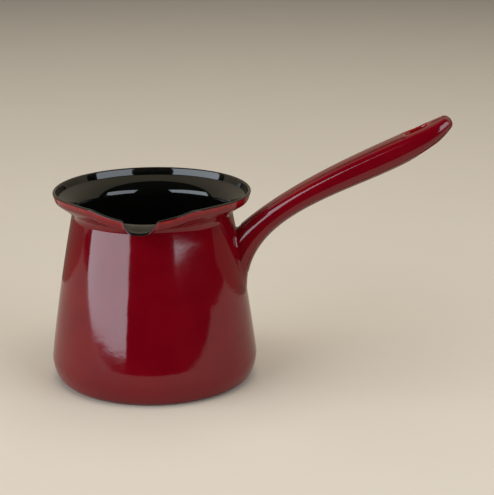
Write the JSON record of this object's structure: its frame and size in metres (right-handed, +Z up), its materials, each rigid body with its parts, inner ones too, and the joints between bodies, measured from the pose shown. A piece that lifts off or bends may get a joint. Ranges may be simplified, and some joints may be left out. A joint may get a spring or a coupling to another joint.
{
  "type": "wax melting pot",
  "caption": "Enamelled steel pouring pot for melting wax, with a flared rim, a pressed pouring lip and a long hollow welded handle.",
  "frame": {"origin": "centre of the flat base, on the surface that the pot stands on", "axes": "+Z up along the vessel's axis, +X along the handle away from the vessel, the lip pours towards -Y"},
  "size_m": [0.1988, 0.1058, 0.1347],
  "materials": {
    "red_enamel": "deep red vitreous enamel, high gloss",
    "black_enamel": "black vitreous enamel, high gloss",
    "bare_steel": "plain drawn sheet steel under the enamel"
  },
  "bodies": {
    "root": {"vessel_body": "bare_steel", "vessel_outer_enamel": "red_enamel", "vessel_inner_enamel": "black_enamel", "handle_upper_shell": "bare_steel", "handle_lower_shell": "bare_steel", "handle_seam_weld": "bare_steel", "handle_enamel": "red_enamel", "handle_root_weld": "red_enamel"}
  },
  "joints": []
}
